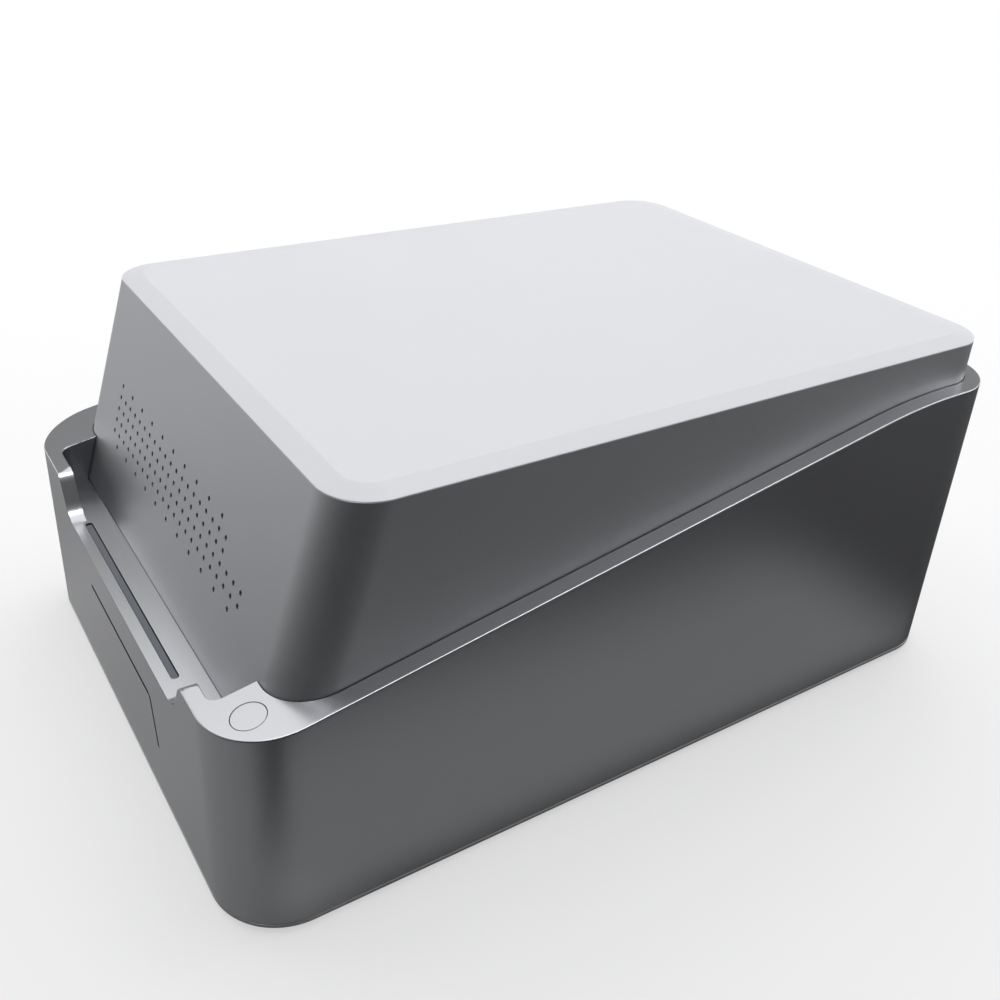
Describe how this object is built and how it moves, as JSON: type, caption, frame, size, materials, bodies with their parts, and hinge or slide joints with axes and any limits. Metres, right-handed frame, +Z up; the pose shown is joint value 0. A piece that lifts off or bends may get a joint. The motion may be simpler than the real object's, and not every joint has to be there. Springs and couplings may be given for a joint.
{
  "type": "phosphor plate scanner",
  "caption": "Desktop reader for phosphor imaging plates: a stepped grey base with a feed slot, a perforated casing, a white lid, inner optics, plate lift, fan and rear switch.",
  "frame": {"origin": "on the standing surface, under the middle of the case's width and depth", "axes": "+Z up, -Y towards the front with the feed slot, +X towards the button's side"},
  "size_m": [0.22, 0.313, 0.1401],
  "materials": {
    "base_paint": "silver grey metallic paint, satin",
    "casing_paint": "silver grey metallic paint, satin",
    "cover_white": "white, satin gloss",
    "button_paint": "silver grey metallic paint, satin",
    "accent_black": "black, glossy",
    "plate_grey": "grey powder coat",
    "foot_rubber": "matt black",
    "carrier_plastic": "grey blue, matt",
    "seal_rubber": "matt black",
    "belt_rubber": "matt black",
    "steel": "bright steel",
    "brass": "turned brass",
    "machine_black": "black, matt",
    "motor_black": "black enamel",
    "cast_alloy": "cast and machined alloy",
    "mirror_alloy": "mirror polished",
    "laser_black": "black anodised",
    "lens_glass": "clear, coated",
    "guide_acrylic": "clear, blue tinted",
    "lamp_white": "white",
    "deck_metal": "zinc plated sheet",
    "board_green": "green solder mask",
    "can_metal": "brushed sheet",
    "filter_foam": "open black foam",
    "switch_black": "black, satin"
  },
  "bodies": {
    "case": {"base_shell": "base_paint", "bottom_plate": "plate_grey", "upper_casing": "casing_paint", "top_cover": "cover_white", "accent_inlay": "accent_black", "foot_front_left": "foot_rubber", "foot_front_right": "foot_rubber", "foot_rear_left": "foot_rubber", "foot_rear_right": "foot_rubber", "base_screw_1": "steel", "base_screw_2": "steel", "base_screw_3": "steel", "base_screw_4": "steel", "button_switch": "machine_black", "button_board": "board_green", "slot_light_seal": "seal_rubber", "guide_rod_left": "steel", "guide_rod_right": "steel", "screw_bearing_bottom": "brass", "screw_bearing_top": "brass", "drive_belt": "belt_rubber", "lift_motor": "motor_black", "motor_bracket": "steel", "optics_bench": "cast_alloy", "laser_module": "laser_black", "laser_mount": "cast_alloy", "scan_motor": "cast_alloy", "scan_lens": "lens_glass", "lens_mount": "machine_black", "light_guide": "guide_acrylic", "detector_module": "machine_black", "erase_lamp": "lamp_white", "equipment_deck": "deck_metal", "control_board": "board_green", "power_module": "can_metal", "intake_filter": "filter_foam", "main_board": "board_green", "usb_port": "steel", "dc_inlet": "machine_black", "power_switch_frame": "switch_black", "fan_frame": "machine_black"},
    "carrier": {"plate_carrier": "carrier_plastic"},
    "screw": {"lead_screw": "steel", "screw_pulley": "machine_black"},
    "drive": {"drive_pulley": "machine_black"},
    "mirror": {"polygon_mirror": "mirror_alloy"},
    "rotor": {"fan_rotor": "machine_black"},
    "button": {"button_cap": "button_paint"},
    "rocker": {"power_rocker": "switch_black"}
  },
  "joints": [
    {"name": "button_press", "type": "slide", "parent": "case", "child": "button", "axis": [0, 0.1794, -0.9838], "range_m": [0, 0.0006], "stiffness_N_per_m": 400, "springref_m": -0.001},
    {"name": "power_rocker_tip", "type": "hinge", "parent": "case", "child": "rocker", "pos_m": [-0.083, 0.1512, 0.024], "axis": [1, 0, 0], "range_deg": [0, 16]},
    {"name": "carrier_lift", "type": "slide", "parent": "case", "child": "carrier", "axis": [0, 0, 1], "range_m": [0, 0.03]},
    {"name": "lead_screw_turn", "type": "hinge", "parent": "case", "child": "screw", "pos_m": [0.073, -0.145, 0.03], "axis": [0, 0, 1], "range_deg": [0, 1350]},
    {"name": "drive_pulley_turn", "type": "hinge", "parent": "case", "child": "drive", "pos_m": [0.088, -0.118, 0.012], "axis": [0, 0, 1], "range_deg": [0, 1800]},
    {"name": "polygon_spin", "type": "hinge", "parent": "case", "child": "mirror", "pos_m": [0, -0.02, 0.034], "axis": [0, 0, 1], "continuous": true},
    {"name": "fan_spin", "type": "hinge", "parent": "case", "child": "rotor", "pos_m": [0.05, 0.1492, 0.03], "axis": [0, 1, 0], "continuous": true}
  ],
  "couplings": [
    {"joint": "lead_screw_turn", "follows": "carrier_lift", "rad_per_m": 785.4},
    {"joint": "drive_pulley_turn", "follows": "carrier_lift", "rad_per_m": 1047.2}
  ]
}
